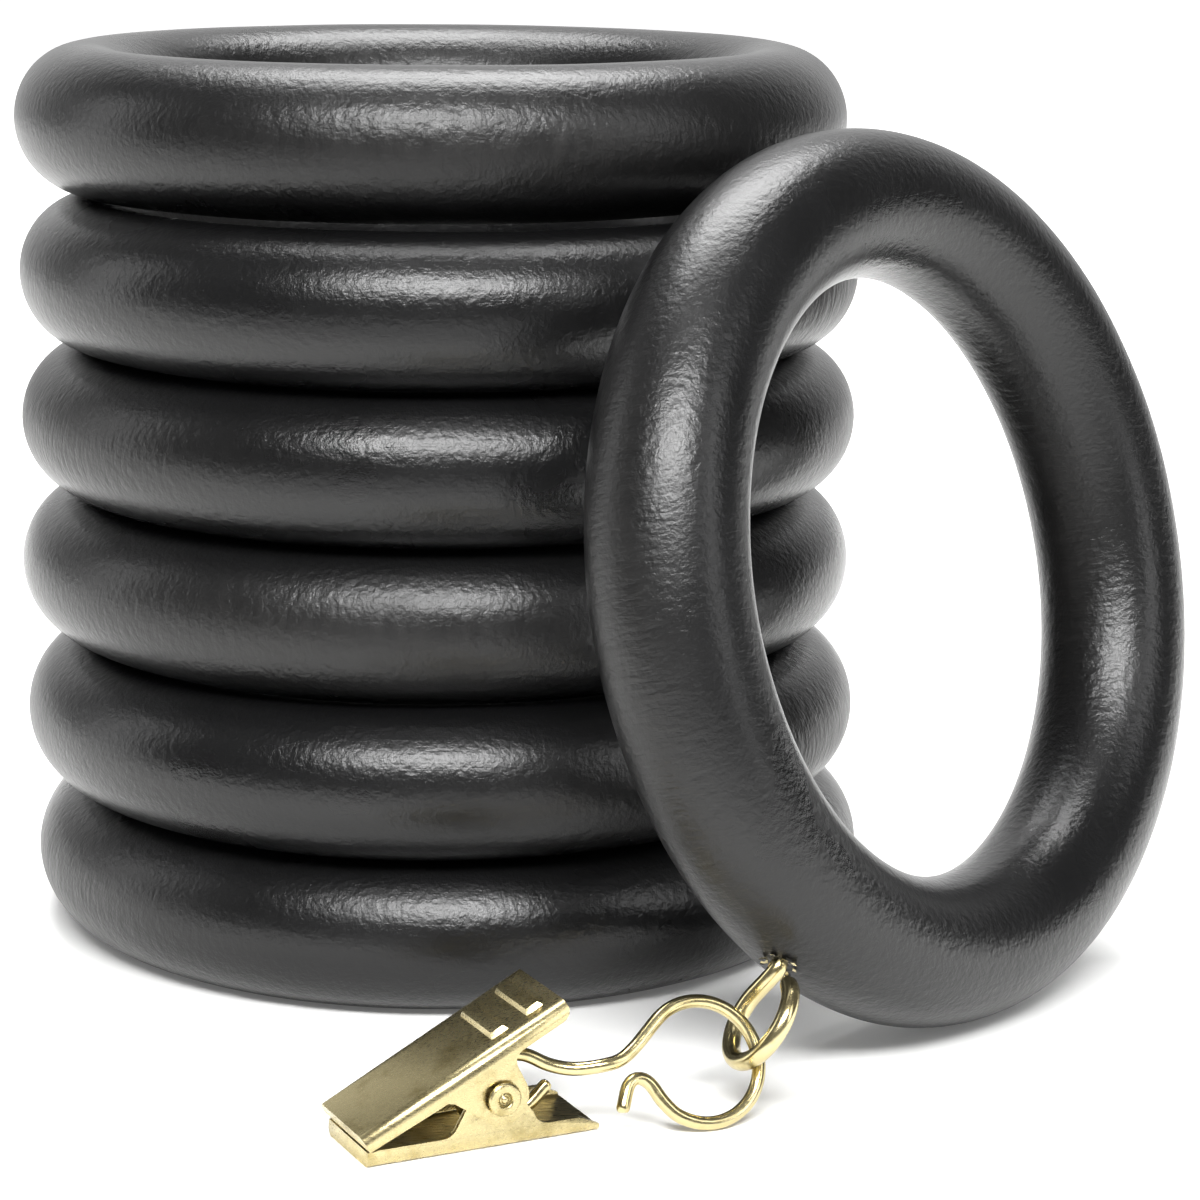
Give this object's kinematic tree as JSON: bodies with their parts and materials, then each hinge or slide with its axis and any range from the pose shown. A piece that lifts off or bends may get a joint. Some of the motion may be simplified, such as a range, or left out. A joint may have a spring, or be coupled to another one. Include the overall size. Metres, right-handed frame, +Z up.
{
  "type": "curtain rings with clip",
  "caption": "Black wooden curtain rings with brass screw eyes, stacked with one leaning, and a sprung brass clip hooked in its eye.",
  "frame": {"origin": "middle of the bottom of the set's box, on the floor that the rings stand on", "axes": "+Z up along the stack's axis, +Y away from the viewer, towards the screw eyes of the stacked rings, +X towards the leaning ring"},
  "size_m": [0.0976, 0.1142, 0.0728],
  "materials": {
    "ring_paint": "black satin paint on turned wood",
    "eye_brass": "bright pale brass plate",
    "clip_brass": "bright pale brass plate",
    "spring_wire": "drawn spring wire, brass plated"
  },
  "bodies": {
    "stack_ring_1": {"ring_1": "ring_paint", "screw_eye_1": "eye_brass"},
    "stack_ring_2": {"ring_2": "ring_paint", "screw_eye_2": "eye_brass"},
    "stack_ring_3": {"ring_3": "ring_paint", "screw_eye_3": "eye_brass"},
    "stack_ring_4": {"ring_4": "ring_paint", "screw_eye_4": "eye_brass"},
    "stack_ring_5": {"ring_5": "ring_paint", "screw_eye_5": "eye_brass"},
    "stack_ring_6": {"ring_6": "ring_paint", "screw_eye_6": "eye_brass"},
    "leaning_ring": {"ring_7": "ring_paint", "screw_eye_7": "eye_brass"},
    "hook": {"hook_wire": "clip_brass"},
    "upper_clip": {"upper_jaw": "clip_brass", "rivet": "clip_brass", "torsion_spring": "spring_wire"},
    "lower_clip": {"lower_jaw": "clip_brass"}
  },
  "joints": [
    {"name": "lift_ring_2", "type": "slide", "parent": "stack_ring_1", "child": "stack_ring_2", "axis": [-0.3935, 0.3085, 0.866], "range_m": [0, 0.03]},
    {"name": "lift_ring_3", "type": "slide", "parent": "stack_ring_2", "child": "stack_ring_3", "axis": [-0.3935, 0.3085, 0.866], "range_m": [0, 0.03]},
    {"name": "lift_ring_4", "type": "slide", "parent": "stack_ring_3", "child": "stack_ring_4", "axis": [-0.3935, 0.3085, 0.866], "range_m": [0, 0.03]},
    {"name": "lift_ring_5", "type": "slide", "parent": "stack_ring_4", "child": "stack_ring_5", "axis": [-0.3935, 0.3085, 0.866], "range_m": [0, 0.03]},
    {"name": "lift_ring_6", "type": "slide", "parent": "stack_ring_5", "child": "stack_ring_6", "axis": [-0.3935, 0.3085, 0.866], "range_m": [0, 0.03]},
    {"name": "leaning_ring_away", "type": "slide", "parent": "stack_ring_1", "child": "leaning_ring", "axis": [0.7869, -0.617, 0], "range_m": [0, 0.04]},
    {"name": "hook_in_eye", "type": "hinge", "parent": "leaning_ring", "child": "hook", "pos_m": [0.00838, -0.04534, 0.00385], "axis": [-0.2541, 0.9671, -0.0117], "range_deg": [0, 35]},
    {"name": "clip_on_hook", "type": "hinge", "parent": "hook", "child": "upper_clip", "pos_m": [-0.0101, -0.04908, 0.00384], "axis": [-0.4019, 0.9157, 0], "range_deg": [-5, 28]},
    {"name": "jaw_open", "type": "hinge", "parent": "upper_clip", "child": "lower_clip", "pos_m": [-0.0101, -0.04908, 0.00384], "axis": [0.4019, -0.9157, 0], "range_deg": [0, 20], "stiffness_Nm_per_rad": 0.002, "springref_deg": -34.38, "deforming": ["torsion_spring"]}
  ]
}
